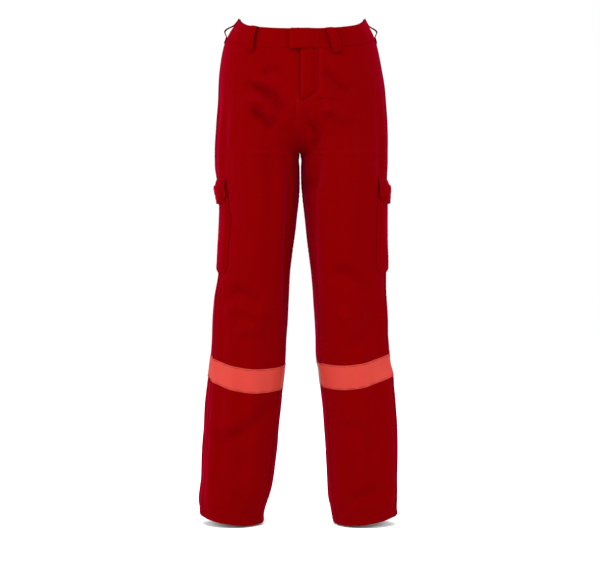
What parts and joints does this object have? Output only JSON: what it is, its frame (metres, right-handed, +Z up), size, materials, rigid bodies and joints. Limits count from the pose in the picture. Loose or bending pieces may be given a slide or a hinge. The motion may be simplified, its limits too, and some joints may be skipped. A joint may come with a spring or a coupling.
{
  "type": "cargo work trousers",
  "caption": "Straight-leg cargo work trousers with a fly, belt loops, flapped thigh pockets and a reflective band round each lower leg; hips, knees, flaps and zip move.",
  "frame": {"origin": "centre of the waist opening, level with the top of the waistband at the sides", "axes": "+Z up, the front faces -Y, +X is the wearer's left"},
  "size_m": [0.439, 0.2655, 1.1037],
  "materials": {
    "cloth": "matt twill",
    "lining": "matt plain weave",
    "tape": "matt woven tape",
    "reflective_tape": "glass-bead reflective, tinted coral",
    "metal": "satin"
  },
  "bodies": {
    "waist": {"left_front_hip_panel": "cloth", "left_back_hip_panel": "cloth", "right_front_hip_panel": "cloth", "right_back_hip_panel": "cloth", "left_soft_seat_section": "cloth", "right_soft_seat_section": "cloth", "waistband_left": "cloth", "waistband_right": "cloth", "press_stud": "metal", "belt_loop_front_left": "cloth", "belt_loop_front_right": "cloth", "belt_loop_side_left": "cloth", "belt_loop_side_right": "cloth", "belt_loop_back_left": "cloth", "belt_loop_back_right": "cloth", "belt_loop_centre_back": "cloth", "fly_shield": "lining", "zip_tape_left": "tape", "zip_tape_right": "tape", "zip_teeth_left": "metal", "zip_teeth_right": "metal", "zip_bottom_stop": "metal", "left_front_pocket_bag": "lining", "right_front_pocket_bag": "lining", "left_back_pocket": "cloth", "right_back_pocket": "cloth"},
    "tab": {"waist_tab": "cloth", "press_stud_socket": "metal"},
    "fly": {"fly_overlap": "cloth"},
    "slider": {"zip_slider": "metal"},
    "pull": {"zip_pull": "metal"},
    "left_seat_flap": {"left_back_pocket_flap": "cloth"},
    "left_thigh": {"left_front_thigh_panel": "cloth", "left_back_thigh_panel": "cloth", "left_soft_knee_section": "cloth", "left_cargo_pocket": "cloth", "left_cargo_loop_tape": "tape"},
    "left_thigh_flap": {"left_cargo_flap": "cloth", "left_cargo_hook_tape": "tape"},
    "left_shin": {"left_front_shin_panel": "cloth", "left_back_shin_panel": "cloth", "left_front_reflective_band": "reflective_tape", "left_back_reflective_band": "reflective_tape", "left_hem": "cloth"},
    "right_seat_flap": {"right_back_pocket_flap": "cloth"},
    "right_thigh": {"right_front_thigh_panel": "cloth", "right_back_thigh_panel": "cloth", "right_soft_knee_section": "cloth", "right_cargo_pocket": "cloth", "right_cargo_loop_tape": "tape"},
    "right_thigh_flap": {"right_cargo_flap": "cloth", "right_cargo_hook_tape": "tape"},
    "right_shin": {"right_front_shin_panel": "cloth", "right_back_shin_panel": "cloth", "right_front_reflective_band": "reflective_tape", "right_back_reflective_band": "reflective_tape", "right_hem": "cloth"}
  },
  "joints": [
    {"name": "waist_tab_fold", "type": "hinge", "parent": "waist", "child": "tab", "pos_m": [0.0398, -0.1095, -0.059], "axis": [0, 0, 1], "range_deg": [0, 110]},
    {"name": "fly_fold", "type": "hinge", "parent": "waist", "child": "fly", "pos_m": [0.0398, -0.1118, -0.126], "axis": [0, 0, 1], "range_deg": [0, 100]},
    {"name": "zip_slide", "type": "slide", "parent": "waist", "child": "slider", "axis": [0, 0, -1], "range_m": [0, 0.069], "deforming": ["zip_teeth_left", "zip_teeth_right"]},
    {"name": "zip_pull_swing", "type": "hinge", "parent": "slider", "child": "pull", "pos_m": [0.01, -0.11126, -0.09647], "axis": [-1, 0, 0], "range_deg": [0, 170], "deforming": ["fly_overlap"]},
    {"name": "left_hip_bend", "type": "hinge", "parent": "waist", "child": "left_thigh", "pos_m": [0.0955, 0, -0.2], "axis": [-1, 0, 0], "range_deg": [-20, 90], "deforming": ["left_soft_seat_section"]},
    {"name": "left_knee_bend", "type": "hinge", "parent": "left_thigh", "child": "left_shin", "pos_m": [0.11, 0, -0.638], "axis": [1, 0, 0], "range_deg": [0, 90], "deforming": ["left_soft_knee_section"]},
    {"name": "left_cargo_flap_lift", "type": "hinge", "parent": "left_thigh", "child": "left_thigh_flap", "pos_m": [0.1894, 0, -0.35], "axis": [0, -1, 0], "range_deg": [0, 150]},
    {"name": "left_back_flap_lift", "type": "hinge", "parent": "waist", "child": "left_seat_flap", "pos_m": [0.0945, 0.1203, -0.1121], "axis": [0.9322, -0.362, 0], "range_deg": [0, 150]},
    {"name": "right_hip_bend", "type": "hinge", "parent": "waist", "child": "right_thigh", "pos_m": [-0.0955, 0, -0.2], "axis": [-1, 0, 0], "range_deg": [-20, 90], "deforming": ["right_soft_seat_section"]},
    {"name": "right_knee_bend", "type": "hinge", "parent": "right_thigh", "child": "right_shin", "pos_m": [-0.11, 0, -0.638], "axis": [1, 0, 0], "range_deg": [0, 90], "deforming": ["right_soft_knee_section"]},
    {"name": "right_cargo_flap_lift", "type": "hinge", "parent": "right_thigh", "child": "right_thigh_flap", "pos_m": [-0.1894, 0, -0.35], "axis": [0, 1, 0], "range_deg": [0, 150]},
    {"name": "right_back_flap_lift", "type": "hinge", "parent": "waist", "child": "right_seat_flap", "pos_m": [-0.0945, 0.1203, -0.1121], "axis": [0.9322, 0.362, 0], "range_deg": [0, 150]}
  ]
}
